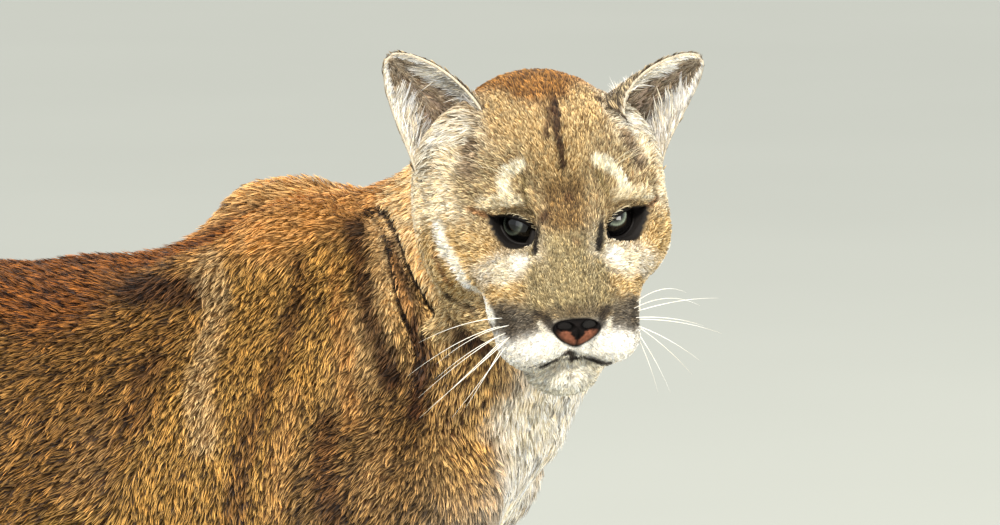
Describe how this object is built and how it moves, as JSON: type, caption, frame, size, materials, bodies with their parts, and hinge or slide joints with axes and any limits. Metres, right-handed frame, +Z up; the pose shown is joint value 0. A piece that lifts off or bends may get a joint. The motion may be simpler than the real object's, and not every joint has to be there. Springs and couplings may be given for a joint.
{
  "type": "cougar",
  "caption": "Life-size standing cougar that looks over its right shoulder, tawny coat, long dark-tipped tail, as a still museum model.",
  "frame": {"origin": "centre of the model's bounding box at the floor, under the paws", "axes": "+X from tail to chest, along the trunk; +Y to the animal's left; +Z up"},
  "size_m": [1.3901, 0.4079, 0.7733],
  "materials": {
    "coat": "short dense fur, tawny with redder back and white throat, belly and muzzle",
    "dark_coat": "short dense fur, blackish brown",
    "nose_skin": "bare damp skin, fine pebbled grain",
    "eye": "clear glossy cornea over a grey-hazel iris"
  },
  "bodies": {
    "root": {"head": "coat", "neck": "coat", "chest": "coat", "loin": "coat", "hips": "coat", "fore_leg_left": "coat", "fore_leg_right": "coat", "fore_paw_left": "coat", "fore_paw_right": "coat", "hind_leg_left": "coat", "hind_leg_right": "coat", "hind_foot_left": "coat", "hind_foot_right": "coat", "tail_base": "coat", "tail_middle": "coat", "tail_tip": "dark_coat", "ear_left": "coat", "ear_right": "coat", "eye_left": "eye", "eye_right": "eye", "nose_pad": "nose_skin"}
  },
  "joints": []
}
